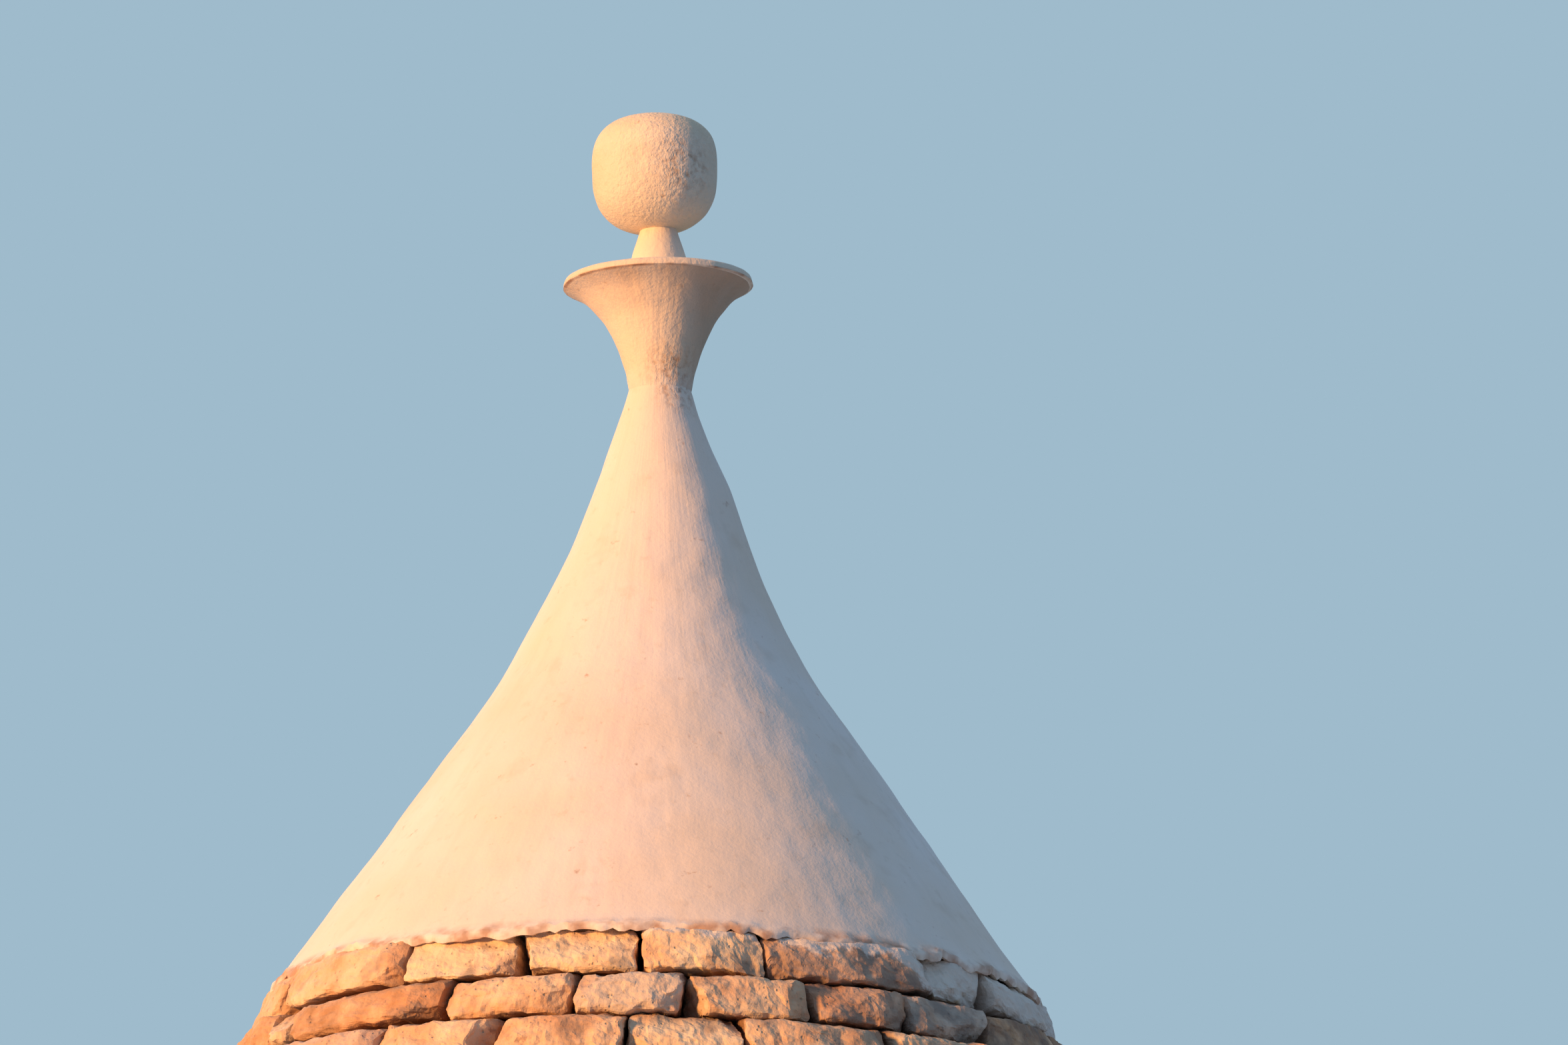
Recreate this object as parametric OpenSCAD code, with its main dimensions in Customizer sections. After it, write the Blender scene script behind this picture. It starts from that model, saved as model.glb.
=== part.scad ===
// Conical dry-stone roof of a trullo: a corbelled stone vault, an outer cone of
// limestone slabs laid in stepped rings, and a limewashed cone on top that
// carries a carved bowl, stem and ball. Lengths are in millimetres, +Z is up,
// and the origin is on the roof's axis at the level where it rests on its wall.

/* [Bearing] */
// Height of the ring of blocks that levels the wall head
springing_h = 150; // [100:5:220]
// How far the bearing ring's outer face stands in from the first slab course
springing_inset = 45; // [20:5:90]
// Length of one bearing block along the ring
springing_block = 560; // [400:20:800]

/* [Eaves] */
// Thickness of the projecting eaves slabs
eaves_h = 70; // [50:5:100]
// How far the eaves slabs stand out past the first slab course
eaves_overhang = 90; // [50:5:140]
// Depth of the eaves slabs, from face to tail
eaves_depth = 360; // [300:10:420]

/* [Slab courses] */
// Number of slab courses between the eaves and the limewashed cone
course_count = 23; // [20:1:24]
// Mean height of a slab course
slab_h = 80; // [72:1:88]
// How much a course can be higher or lower than the mean
slab_h_vary = 6; // [0:1:10]
// Setback of each course near the limewashed cone
setback_top = 56; // [52:1:60]
// Setback of each course near the eaves
setback_base = 54; // [50:1:58]
// Depth of a slab, from face to tail
slab_depth = 250; // [220:5:270]
// How far a slab's face leans back over its height
face_lean = 27; // [12:1:34]
// Fall of the bare ledge on top of a slab, which sheds the rain
ledge_fall = 13; // [6:1:18]
// Length of a run of slabs between two open joints
slab_run = 460; // [380:10:560]
// Width of an open joint
joint = 8; // [4:1:14]

/* [Vault] */
// Level thickness of the vault's blocks
vault_t = 190; // [170:5:210]
// Number of corbelled rings
vault_rings = 9; // [8:1:10]
// Rubble between vault and slabs at the vault's foot
fill_foot = 190; // [170:5:230]
// Rubble between vault and slabs at the keystone
fill_top = 250; // [220:5:280]
// How far the vault swells into the rubble at half height
vault_swell = 40; // [20:5:55]
// Length of one vault block along the ring
vault_block = 400; // [320:10:480]
// How far the keystone bears on the last ring
keystone_bearing = 120; // [90:5:140]
// Thickness of the keystone slab
keystone_h = 90; // [70:5:110]
// Rubble over the keystone, up to the level of the hem
crown_fill = 232; // [180:2:280]

/* [Limewashed cone] */
// Radius of the neck under the bowl
neck_r = 54; // [50:1:60]
// Depth of the throat below the neck
throat_drop = 50; // [40:2:60]
// Radius at the throat
throat_r = 69; // [65:1:75]
// Depth of the shoulder below the neck
shoulder_drop = 300; // [280:5:320]
// Radius at the shoulder
shoulder_r = 160; // [150:1:172]
// Depth of the knee below the neck
knee_drop = 520; // [500:5:540]
// Radius at the knee
knee_r = 270; // [258:1:282]
// Depth of the flank below the neck
flank_drop = 600; // [580:5:620]
// Radius at the flank
flank_r = 323; // [312:1:334]
// Depth of the skirt below the neck
skirt_drop = 866; // [840:5:890]
// Radius at the skirt
skirt_r = 509; // [497:1:523]
// Height of the limewashed cone, from its hem to the neck
cone_h = 1080; // [1040:5:1130]
// Radius of the hem
hem_r = 656; // [644:1:672]
// Level thickness of the lime coat
coat_t = 24; // [18:1:34]
// How far the foot of the top slab course spreads past the hem
hem_splay = 37; // [32:1:46]
// Number of mortared lifts inside the lime coat
core_lifts = 12; // [10:1:14]

/* [Pinnacle] */
// Height of the bowl, from the neck to its flat top
bowl_h = 200; // [190:1:215]
// Height of the bowl's waist above the neck
waist_h = 107; // [95:1:115]
// Radius at the bowl's waist
waist_r = 86; // [80:1:92]
// Height of the flare above the neck
flare_h = 176; // [165:1:182]
// Radius at the flare
flare_r = 143; // [134:1:150]
// Outer radius of the bowl's rim
rim_r = 165; // [158:1:174]
// Thickness of the rim
rim_t = 12; // [9:1:16]
// Radius of the stem at its foot
stem_foot_r = 57; // [52:1:62]
// Radius of the stem under the ball
stem_top_r = 35; // [32:1:39]
// Height of the stem
stem_h = 88; // [80:1:100]
// Widest radius of the ball
ball_r = 110; // [100:1:120]
// Height of the ball above its widest level
ball_rise = 103; // [95:1:112]
// Height of the ball below its widest level
ball_drop = 101; // [95:1:112]
// Squareness of the ball's upper half, where 2 is round
ball_square = 3.1; // [2:0.1:4]
// Squareness of the ball's lower half, where 2 is round
ball_square_low = 2.3; // [2:0.1:4]

/* [Hidden] */
// Clearance between curved faces of neighbouring pieces, and at mortar beds
clearance = 0.3;
// Steps of the cone's outline in each mortared lift, and of the bowl's flank
lift_steps = 3;
flank_steps = 24;
// Bare edge of the top slab course above its face
hem_lip = 8;
// Least number of slabs in a course, and of blocks in a vault ring
least_segments = 20;
least_blocks = 10;
// Turn between the joints of one course and the next, which staggers them
stagger = 137.5;
// Sides of the keystone slab
keystone_sides = 10;
rim_steps = 6;

limestone = [0.66, 0.61, 0.54];
limestone_dark = [0.58, 0.54, 0.48];
limewash = [0.93, 0.88, 0.81];
rubble = [0.5, 0.44, 0.37];

function two_digits(i) = str(i < 10 ? "0" : "", i);
function course_name(i) = str("slab_course_", two_digits(i));
function vault_name(j) = str("vault_ring_", two_digits(j));

// Sum of a list
function total(list, i = 0) = i < len(list) ? list[i] + total(list, i + 1) : 0;

// Slab courses, counted from 1 at the eaves to course_count under the hem.
// The top three are as high as each other, and the others vary.
function course_h(i) = slab_h + slab_h_vary * sin(stagger * max(0, course_count - i - 2));
function course_z(i) =
  springing_h + eaves_h + total([for (k = [1 : 1 : i - 1]) course_h(k)]);
function setback(i) =
  setback_base + (setback_top - setback_base) * i / course_count;
function course_r(i) =
  hem_r + hem_splay + total([for (k = [i : 1 : course_count - 1]) setback(k)]);
// Outer radius of whatever stands on course i
function next_r(i) = i < course_count ? course_r(i + 1) : hem_r;

hem_z = course_z(course_count + 1);
neck_z = hem_z + cone_h;
bowl_top_z = neck_z + bowl_h;
ball_z = bowl_top_z + stem_h;

springing_r = course_r(1) - springing_inset;

// Straight line through the tails of the first and the last slab course
batter =
  (course_r(1) - course_r(course_count)) / (course_z(course_count) - course_z(1));
function tail_r(z) =
  course_r(course_count) - slab_depth + (course_z(course_count) - z) * batter;

// Vault rings, counted from 1 at the springing. The rubble's thickness sets
// how far the vault stands in from the slab tails.
keystone_z = hem_z - crown_fill - keystone_h;
vault_ring_h = (keystone_z - springing_h) / vault_rings;
function vault_z(j) = springing_h + (j - 1) * vault_ring_h;
function fill_t(t) =
  fill_foot + (fill_top - fill_foot) * t - 4 * vault_swell * t * (1 - t);
function soffit_r(z) =
  tail_r(z) - vault_t - fill_t((z - springing_h) / (keystone_z - springing_h));
function vault_blocks(j) =
  max(least_blocks, round(2 * PI * soffit_r(vault_z(j)) / vault_block));
// Radius that clears the outer corners of ring j
function vault_corner_r(j) =
  (soffit_r(vault_z(j)) + vault_t) / cos(180 / vault_blocks(j)) + clearance;
vault_r = soffit_r(springing_h);
keystone_r = soffit_r(keystone_z) + keystone_bearing;

function segments(r, run) = max(least_segments, round(2 * PI * r / run));

// Smooth curve through stations [x, y]: a cubic between each pair, whose
// slopes are those between the neighbours on each side
function slope(st, i) =
  let (a = st[max(0, i - 1)], b = st[min(len(st) - 1, i + 1)])
  (b[1] - a[1]) / (b[0] - a[0]);
function cubic(st, i, x) =
  let (
    w = st[i + 1][0] - st[i][0],
    t = (x - st[i][0]) / w,
    m0 = slope(st, i) * w,
    m1 = slope(st, i + 1) * w
  )
  st[i][1] * (2 * t * t * t - 3 * t * t + 1) + m0 * (t * t * t - 2 * t * t + t)
  + st[i + 1][1] * (3 * t * t - 2 * t * t * t) + m1 * (t * t * t - t * t);
// Curve's value at x, and the curve as a list of points from first to last
function curve_at(st, x, i = 0) =
  i < len(st) - 2 && x > st[i + 1][0] ? curve_at(st, x, i + 1) : cubic(st, i, x);
function curve(st, steps) =
  let (first = st[0][0], last = st[len(st) - 1][0])
  [for (k = [0 : steps])
    let (x = first + (last - first) * k / steps) [x, curve_at(st, x)]];

// Outline of the limewashed cone, as [drop below the neck, radius]
cone_stations = [
  [0, neck_r],
  [throat_drop, throat_r],
  [shoulder_drop, shoulder_r],
  [knee_drop, knee_r],
  [flank_drop, flank_r],
  [skirt_drop, skirt_r],
  [cone_h, hem_r]
];
// Inner radius of the lime coat at each mortar bed, counted from the neck
lift_h = cone_h / core_lifts;
function coat_inner_r(k) = curve_at(cone_stations, k * lift_h) - coat_t;

// Ring of flat-faced blocks. Each has the outline [radius, height] in the
// middle of its length, and an open joint parts it from the next.
module block_ring(outline, z, h, n, turn) {
  half = 180 / n;
  inner = min([for (p = outline) p[0]]) / 2;
  outer = max([for (p = outline) p[0]]) * 1.1;
  function half_width(r) = r * tan(half) - joint / 2 / cos(half);
  translate([0, 0, z])
    for (k = [0 : n - 1])
      rotate([0, 0, turn + k * 2 * half])
        intersection() {
          rotate([90, 0, 0])
            linear_extrude(height = 2 * outer * tan(half), center = true)
              polygon(outline);
          linear_extrude(height = h)
            polygon([
              [inner, -half_width(inner)],
              [outer, -half_width(outer)],
              [outer, half_width(outer)],
              [inner, half_width(inner)]
            ]);
        }
}

// Outline of a slab: face leaning back, sloping ledge, then the flat bed that
// carries whatever stands on it from the radius r_next inwards
function slab_outline(r, depth, h, lean, r_next) =
  [[r - depth, 0], [r, 0], [r - lean, h - ledge_fall], [r_next, h], [r - depth, h]];

module springing_course() {
  color(limestone_dark)
    block_ring(
      [[vault_r, 0], [springing_r, 0], [springing_r, springing_h], [vault_r, springing_h]],
      0, springing_h, segments(springing_r, springing_block), 0
    );
}

module eaves_course() {
  r = course_r(1) + eaves_overhang;
  color(limestone)
    block_ring(
      slab_outline(r, eaves_depth, eaves_h, face_lean / 2, course_r(1)),
      springing_h, eaves_h, segments(r, slab_run), 0
    );
}

module slab_course(i) {
  r = course_r(i);
  h = course_h(i);
  lean = i < course_count ? face_lean : hem_splay - hem_lip;
  color(i % 2 == 0 ? limestone : limestone_dark)
    block_ring(
      slab_outline(r, slab_depth, h, lean, next_r(i)),
      course_z(i), h, segments(r, slab_run), stagger * i
    );
}

// Each ring juts in past the one below, and its face follows the soffit
module vault_ring(j) {
  z = vault_z(j);
  low = soffit_r(z);
  back = low + vault_t;
  color(limestone)
    block_ring(
      [[low, 0], [back, 0], [back, vault_ring_h], [soffit_r(z + vault_ring_h), vault_ring_h]],
      z, vault_ring_h, vault_blocks(j), stagger * j
    );
}

module vault_keystone() {
  color(limestone_dark)
    translate([0, 0, keystone_z])
      linear_extrude(height = keystone_h)
        polygon([for (k = [0 : keystone_sides - 1])
          keystone_r * [cos(k * 360 / keystone_sides), sin(k * 360 / keystone_sides)]]);
}

// Rubble between the vault and the slabs, which fills each of their steps
module rubble_fill() {
  eaves_tail = course_r(1) + eaves_overhang - eaves_depth;
  slab_side = concat(
    [[eaves_tail - clearance, springing_h], [eaves_tail - clearance, course_z(1)]],
    [for (i = [1 : course_count], z = [course_z(i), course_z(i + 1)])
      [course_r(i) - slab_depth - clearance, z]]
  );
  vault_side = [
    for (j = [vault_rings : -1 : 1], z = [vault_z(j + 1), vault_z(j)])
      [vault_corner_r(j), z]
  ];
  over_keystone = [
    [0, hem_z],
    [0, keystone_z + keystone_h],
    [keystone_r + clearance, keystone_z + keystone_h],
    [keystone_r + clearance, keystone_z]
  ];
  color(rubble)
    rotate_extrude()
      polygon(concat(slab_side, over_keystone, vault_side));
}

// Lifts of mortared stones inside the lime coat, from the hem to the neck
module cone_core() {
  color(rubble)
    for (k = [1 : core_lifts])
      translate([0, 0, neck_z - k * lift_h])
        cylinder(
          h = lift_h - (k > 1 ? clearance : 0),
          r1 = coat_inner_r(k) - clearance,
          r2 = coat_inner_r(k - 1) - clearance
        );
}

module lime_cone() {
  outside = curve(cone_stations, core_lifts * lift_steps);
  color(limewash)
    rotate_extrude()
      polygon(concat(
        [for (p = outside) [p[1], neck_z - p[0]]],
        [for (k = [core_lifts : -1 : 0]) [coat_inner_r(k), neck_z - k * lift_h]]
      ));
}

// Trumpet-shaped bowl, widest at the lower edge of its rounded rim, with a flat top
module pinnacle_bowl() {
  flank = curve(
    [
      [0, neck_r],
      [waist_h, waist_r],
      [flare_h, flare_r],
      [bowl_h - rim_t, rim_r]
    ],
    flank_steps
  );
  rim = [
    for (k = [1 : rim_steps])
      let (a = 90 * k / rim_steps)
      [rim_r - rim_t + rim_t * cos(a), bowl_h - rim_t + rim_t * sin(a)]
  ];
  color(limewash)
    translate([0, 0, neck_z])
      rotate_extrude()
        polygon(concat([[0, 0]], [for (p = flank) [p[1], p[0]]], rim, [[0, bowl_h]]));
}

module pinnacle_stem() {
  color(limewash)
    translate([0, 0, bowl_top_z])
      cylinder(h = stem_h, r1 = stem_foot_r, r2 = stem_top_r);
}

// Ball with a squarish outline, cut flat where it sits on the stem
module pinnacle_ball() {
  function half_outline(height, power, sign, angles) = [
    for (a = angles)
      [ball_r * pow(cos(a), 2 / power), sign * height * pow(sin(a), 2 / power)]
  ];
  upper = half_outline(ball_rise, ball_square, 1, [0 : 7.5 : 90]);
  lower = half_outline(ball_drop, ball_square_low, -1, [75 : -7.5 : 7.5]);
  seat = ball_drop * pow(sin(75), 2 / ball_square_low);
  color(limewash)
    translate([0, 0, ball_z + seat])
      rotate_extrude()
        polygon(concat([[0, -seat]], lower, upper));
}

springing_course();
eaves_course();
for (i = [1 : course_count])
  slab_course(i);
for (j = [1 : vault_rings])
  vault_ring(j);
vault_keystone();
rubble_fill();
cone_core();
lime_cone();
pinnacle_bowl();
pinnacle_stem();
pinnacle_ball();
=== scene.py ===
import math
import random

import bpy
import numpy as np
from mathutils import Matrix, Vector, noise


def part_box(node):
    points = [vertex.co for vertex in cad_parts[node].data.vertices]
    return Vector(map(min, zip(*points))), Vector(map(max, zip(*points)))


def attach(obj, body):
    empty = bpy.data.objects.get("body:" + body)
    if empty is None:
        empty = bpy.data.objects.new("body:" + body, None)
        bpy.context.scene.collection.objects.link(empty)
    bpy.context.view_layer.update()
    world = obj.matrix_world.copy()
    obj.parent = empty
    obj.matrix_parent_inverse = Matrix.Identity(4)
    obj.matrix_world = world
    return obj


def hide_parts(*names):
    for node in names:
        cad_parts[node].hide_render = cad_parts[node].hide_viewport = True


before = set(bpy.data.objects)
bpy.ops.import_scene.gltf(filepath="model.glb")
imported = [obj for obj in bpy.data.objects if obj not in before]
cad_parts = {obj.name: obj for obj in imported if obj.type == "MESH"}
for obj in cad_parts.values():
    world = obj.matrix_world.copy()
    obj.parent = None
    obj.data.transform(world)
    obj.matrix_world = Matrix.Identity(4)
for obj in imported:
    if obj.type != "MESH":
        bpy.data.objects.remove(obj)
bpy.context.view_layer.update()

# Camera: a 300 mm lens on 36 mm film, about 22 m off and below the eaves, so
# that it looks up at the roof by 13 degrees. The roof's axis stands left of the
# middle of the picture. Azimuth 0 looks along +Y.
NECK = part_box("lime_cone")[1][2]
LOOK_UP = math.radians(13.4)
DISTANCE, ASIDE, BELOW_NECK = 22.55, 0.220, 0.233
aim = Vector((ASIDE, 0.0, NECK - BELOW_NECK))
lens = bpy.data.cameras.new("camera")
lens.sensor_width = 36.0
lens.lens = 300.0
lens.clip_end = 400.0
camera = bpy.data.objects.new("camera", lens)
camera.location = aim - DISTANCE * Vector((0.0, math.cos(LOOK_UP), math.sin(LOOK_UP)))
camera.rotation_euler = (math.pi / 2 + LOOK_UP, 0.0, 0.0)
bpy.context.scene.collection.objects.link(camera)
bpy.context.scene.camera = camera


# Floor, background and light: a pale floor under the bearing ring and a pale
# blue background. A low warm lamp stands front left, a weak one behind, and the
# rest is a soft cool fill, stronger from above.
def srgb(code):
    """Turns a hex colour as a screen shows it into the linear one that shaders use."""
    parts = [int(code[i:i + 2], 16) / 255 for i in (1, 3, 5)]
    return [p / 12.92 if p <= 0.04045 else ((p + 0.055) / 1.055) ** 2.4 for p in parts] + [1.0]


def add(tree, kind, inputs=(), take=0, **settings):
    """Adds a node with its settings and fills or links its inputs, in their order or by name.

    Gives one output, by its number or name, or the node itself where take is None.
    """
    node = tree.nodes.new(kind)
    for name, value in settings.items():
        setattr(node, name, value)
    in_use = [socket for socket in node.inputs if socket.enabled]
    for key, value in inputs.items() if isinstance(inputs, dict) else enumerate(inputs):
        socket = in_use[key] if isinstance(key, int) else node.inputs[key]
        if isinstance(value, bpy.types.NodeSocket):
            tree.links.new(value, socket)
        else:
            socket.default_value = value
    if take is None:
        return node
    return node.outputs[take] if isinstance(take, str) else [s for s in node.outputs if s.enabled][take]


NUMBER, VECTOR, MIX, RANGE, NOISE = (
    "ShaderNodeMath", "ShaderNodeVectorMath", "ShaderNodeMix", "ShaderNodeMapRange", "ShaderNodeTexNoise")
world = bpy.data.worlds.new("pale studio")
bpy.context.scene.world = world
world.use_nodes = True
tree = world.node_tree
tree.nodes.clear()
path = add(tree, "ShaderNodeLightPath", take=None).outputs
seen = add(tree, NUMBER, (path["Is Camera Ray"], path["Is Glossy Ray"]), operation="MAXIMUM")
seen = add(tree, NUMBER, (seen, path["Is Transmission Ray"]), operation="MAXIMUM")
# The fill grows from below the horizon to the zenith. The camera sees a plain background instead.
FILL_BELOW, FILL_ABOVE = 0.02, 0.68
height = add(tree, "ShaderNodeTexCoord", take="Generated")
height = add(tree, "ShaderNodeSeparateXYZ", (height,), take="Z")
height = add(tree, RANGE, (height, -0.8, 1.0, FILL_BELOW, FILL_ABOVE))
fill = add(tree, "ShaderNodeBackground", (srgb("#AAD0FF"), height))
shown = add(tree, "ShaderNodeBackground", (srgb("#9FBBCC"), 1.0))
both = add(tree, "ShaderNodeMixShader", (seen, fill, shown))
add(tree, "ShaderNodeOutputWorld", (both,), take=None)

FLOOR_R = 5.5
bpy.ops.mesh.primitive_circle_add(vertices=96, radius=FLOOR_R, fill_type="NGON")
floor = bpy.context.object
floor.name = "floor"
# Pale matt paint, on which the roof's shadow shows softly
floor_paint = bpy.data.materials.new("pale floor")
floor_paint.use_nodes = True
floor_paint.node_tree.nodes["Principled BSDF"].inputs["Base Color"].default_value = srgb("#DDE0E3")
floor_paint.node_tree.nodes["Principled BSDF"].inputs["Roughness"].default_value = 0.9
floor.data.materials.append(floor_paint)


def lamp(name, code, strength, azimuth, rise, spread):
    """A sun lamp that shines from an azimuth, seen from the front, and a height in degrees."""
    sun = bpy.data.lights.new(name, "SUN")
    sun.energy = strength
    sun.angle = math.radians(spread)
    sun.color = srgb(code)[:3]
    made = bpy.data.objects.new(name, sun)
    turn = math.radians(azimuth)
    toward = Vector((math.sin(turn), -math.cos(turn), math.tan(math.radians(rise))))
    made.rotation_euler = toward.to_track_quat("Z", "Y").to_euler()
    bpy.context.scene.collection.objects.link(made)


lamp("low key", "#FFBA72", strength=4.95, azimuth=-54.5, rise=8, spread=7)
lamp("back fill", "#F4F4F4", strength=0.75, azimuth=-160, rise=35, spread=20)
bpy.context.scene.view_settings.view_transform = "Standard"


# Springing course: blocks of limestone, 150 mm high and half a metre long, that
# level the head of the wall. They are laid dry and hewn with a pick, and carry
# both the vault and the outer slabs.
def stone_tree():
    """Geometry Nodes that turn each vertex of a ring, with its start and end angle, into one stone."""
    tree = bpy.data.node_groups.new("ring of stones", "GeometryNodeTree")
    tree.is_modifier = True
    tree.interface.new_socket("Geometry", in_out="OUTPUT", socket_type="NodeSocketGeometry")
    for kind, names in (
            ("Geometry", ("Geometry",)),
            ("Float", ("Bed Height", "Thickness", "Tail Radius", "Face Radius Low", "Face Radius High",
                       "Joint", "Edge Radius", "Crown", "Chip", "Roughness", "Push", "Slack", "Tilt",
                       "Ledge Fall", "Slope")),
            ("Int", ("Cuts Along", "Cuts Deep", "Cuts High", "Chips", "Seed")),
            ("Material", ("Material",))):
        for name in names:
            tree.interface.new_socket(name, in_out="INPUT", socket_type="NodeSocket" + kind)
    given = add(tree, "NodeGroupInput", take=None).outputs
    here = add(tree, "GeometryNodeInputPosition")

    # One block of unit size for each vertex, which keeps the number of its stone
    cube = add(tree, "GeometryNodeMeshCube",
               ((1, 1, 1), given["Cuts Along"], given["Cuts Deep"], given["Cuts High"]))
    number = add(tree, "GeometryNodeInputIndex")
    named = {}
    for mesh, name, value, kind in ((cube, "cell", here, "FLOAT_VECTOR"),
                                    (given["Geometry"], "stone", number, "INT")):
        named[name] = add(tree, "GeometryNodeStoreNamedAttribute",
                          {"Geometry": mesh, "Name": name, "Value": value}, data_type=kind, domain="POINT")
    laid = add(tree, "GeometryNodeInstanceOnPoints", {"Points": named["stone"], "Instance": named["cell"]})
    blocks = add(tree, "GeometryNodeRealizeInstances", (laid,))
    cell, stone, start, end, start_lean, end_lean = (
        add(tree, "GeometryNodeInputNamedAttribute", (name,), data_type=kind)
        for name, kind in (("cell", "FLOAT_VECTOR"), ("stone", "INT"), ("start", "FLOAT"), ("end", "FLOAT"),
                           ("start_lean", "FLOAT"), ("end_lean", "FLOAT")))

    # What chance gives each stone: how much it lacks of the course's height, how round its edges are,
    # and how far it is pushed out, turned and tilted. Each has a seed of its own.
    drawn = []
    for low, high in ((0.35, 1.0), (0.6, 1.5), (-1.0, 1.0), (-0.045, 0.045), (-1.0, 1.0)):
        seed = add(tree, NUMBER, (given["Seed"], 1000.0 + 100.0 * len(drawn)), operation="ADD")
        drawn.append(add(tree, "FunctionNodeRandomValue", (low, high, stone, seed), data_type="FLOAT"))
    slack, rounding, push, skew, tilt = drawn
    shift = add(tree, "FunctionNodeRandomValue", ((-5, -5, -5), (5, 5, 5), stone, given["Seed"]),
                data_type="FLOAT_VECTOR")

    # Half of its length, depth and height, less the joint and what it lacks of the course
    radius = given["Face Radius Low"]
    turn = add(tree, NUMBER, (end, start), operation="SUBTRACT")
    length = add(tree, NUMBER, (turn, radius), operation="MULTIPLY")
    length = add(tree, NUMBER, (length, given["Joint"]), operation="SUBTRACT")
    depth = add(tree, NUMBER, (radius, given["Tail Radius"]), operation="SUBTRACT")
    lack = add(tree, NUMBER, (given["Slack"], slack), operation="MULTIPLY")
    lack = add(tree, NUMBER, (lack, given["Thickness"]), operation="MULTIPLY")
    thick = add(tree, NUMBER, (given["Thickness"], lack), operation="SUBTRACT")
    size = add(tree, "ShaderNodeCombineXYZ", (length, depth, thick))
    size = add(tree, VECTOR, (size,), operation="ABSOLUTE")
    half = add(tree, VECTOR, (size, (0.5, 0.5, 0.5)), operation="MULTIPLY")

    # Its vertices stand closer at the edges and at the face
    wave = add(tree, VECTOR, (cell, (math.pi, math.pi, math.pi)), operation="MULTIPLY")
    wave = add(tree, VECTOR, (wave,), operation="SINE")
    spaced = add(tree, VECTOR, (cell, (0, -2, 0), (2 / 3, 2, 2 / 3)), operation="MULTIPLY_ADD")
    spaced = add(tree, VECTOR, (cell, spaced, (0, 0.5, 0)), operation="MULTIPLY_ADD")
    spaced = add(tree, VECTOR, (wave, (2 / 3, 0, 2 / 3), spaced), operation="MULTIPLY_ADD")
    boxed = add(tree, VECTOR, (spaced, half), operation="MULTIPLY")

    # Rounded edges, then a crowned face that falls back to its edges, most of all at its foot
    edge_r = add(tree, NUMBER, (given["Edge Radius"], rounding), operation="MULTIPLY")
    inner = add(tree, VECTOR, (half, edge_r), operation="SUBTRACT")
    other = add(tree, VECTOR, (inner, (-1, -1, -1)), operation="MULTIPLY")
    core = add(tree, VECTOR, (boxed, inner), operation="MINIMUM")
    core = add(tree, VECTOR, (core, other), operation="MAXIMUM")
    outward = add(tree, VECTOR, (boxed, core), operation="SUBTRACT")
    outward = add(tree, VECTOR, (outward,), operation="NORMALIZE")
    rounded = add(tree, VECTOR, (outward, edge_r, core), operation="MULTIPLY_ADD")
    unit = add(tree, VECTOR, (rounded, half), operation="DIVIDE")
    off = add(tree, VECTOR, (unit, (0, 0, 0.12)), operation="SUBTRACT")
    off = add(tree, VECTOR, (off,), operation="ABSOLUTE")
    off = add(tree, VECTOR, (off, (4, 4, 4)), operation="POWER")
    off = add(tree, VECTOR, (off, (1, 0, 1)), operation="DOT_PRODUCT")
    front = add(tree, "ShaderNodeSeparateXYZ", (unit,), take="Y")
    front = add(tree, RANGE, (front, 0.0, 1.0, 0.0, given["Crown"]), interpolation_type="SMOOTHSTEP")
    crown = add(tree, NUMBER, (off, front), operation="MULTIPLY")
    crowned = add(tree, VECTOR, (crown, (0, -1, 0), rounded), operation="MULTIPLY_ADD")
    blocks = add(tree, "GeometryNodeSetPosition", {"Geometry": blocks, "Position": crowned})

    # Chips: each turn of the loop cuts the stone by one more random plane
    loop_in = add(tree, "GeometryNodeRepeatInput", take=None)
    loop_out = add(tree, "GeometryNodeRepeatOutput", take=None)
    loop_in.pair_with_output(loop_out)
    tree.links.new(given["Chips"], loop_in.inputs["Iterations"])
    tree.links.new(blocks, loop_in.inputs["Geometry"])
    seed = add(tree, NUMBER, (loop_in.outputs["Iteration"], 7.0, given["Seed"]), operation="MULTIPLY_ADD")
    normal = add(tree, "FunctionNodeRandomValue", ((-1, 0.12, -1), (1, 1.5, 0.8), stone, seed),
                 data_type="FLOAT_VECTOR")
    normal = add(tree, VECTOR, (normal,), operation="NORMALIZE")
    corner = add(tree, VECTOR, (normal,), operation="ABSOLUTE")
    corner = add(tree, VECTOR, (corner, half), operation="DOT_PRODUCT")
    bite_seed = add(tree, NUMBER, (seed, 500.0), operation="ADD")
    bite = add(tree, "FunctionNodeRandomValue", (0.0, 1.0, stone, bite_seed), data_type="FLOAT")
    bite = add(tree, NUMBER, (bite, 1.5), operation="POWER")
    bite = add(tree, NUMBER, (bite, given["Chip"]), operation="MULTIPLY")
    plane = add(tree, NUMBER, (corner, bite), operation="SUBTRACT")
    beyond = add(tree, VECTOR, (here, normal), operation="DOT_PRODUCT")
    back = add(tree, NUMBER, (plane, beyond), operation="SUBTRACT")
    back = add(tree, NUMBER, (back, 0.0), operation="MINIMUM")
    back = add(tree, VECTOR, (normal, back), operation="MULTIPLY")
    chipped = add(tree, "GeometryNodeSetPosition",
                  {"Geometry": loop_in.outputs["Geometry"], "Offset": back})
    tree.links.new(chipped, loop_out.inputs["Geometry"])

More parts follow.
